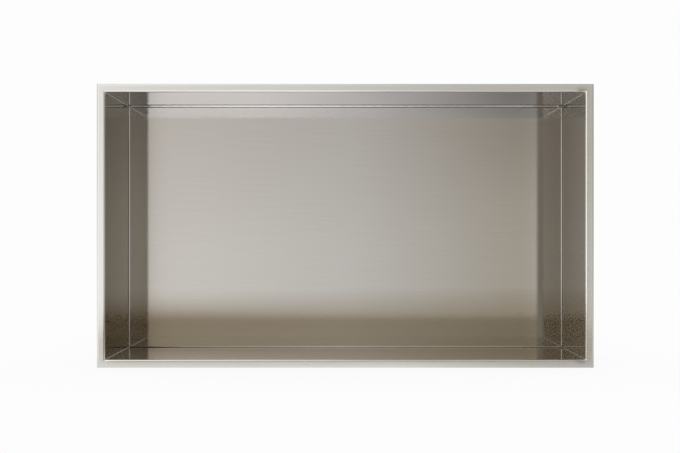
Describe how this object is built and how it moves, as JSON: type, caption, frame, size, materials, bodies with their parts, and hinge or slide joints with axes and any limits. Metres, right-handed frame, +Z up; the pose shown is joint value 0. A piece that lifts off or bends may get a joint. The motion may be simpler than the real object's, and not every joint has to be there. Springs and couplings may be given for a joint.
{
  "type": "shower niche insert",
  "caption": "Open rectangular box of folded and welded brushed stainless sheet with a narrow frame around its mouth, set into a shower wall as a recessed shelf.",
  "frame": {"origin": "centre of the opening, in the plane of the finished wall, where the folded-back edge of the frame seats", "axes": "+X to the right as one faces the niche, +Y back into the wall, +Z up; the open mouth faces -Y"},
  "size_m": [0.5334, 0.1016, 0.3048],
  "materials": {
    "steel": "fine satin brushed grain, along each member of the frame and across the box"
  },
  "bodies": {
    "root": {"niche_body": "steel"}
  },
  "joints": []
}
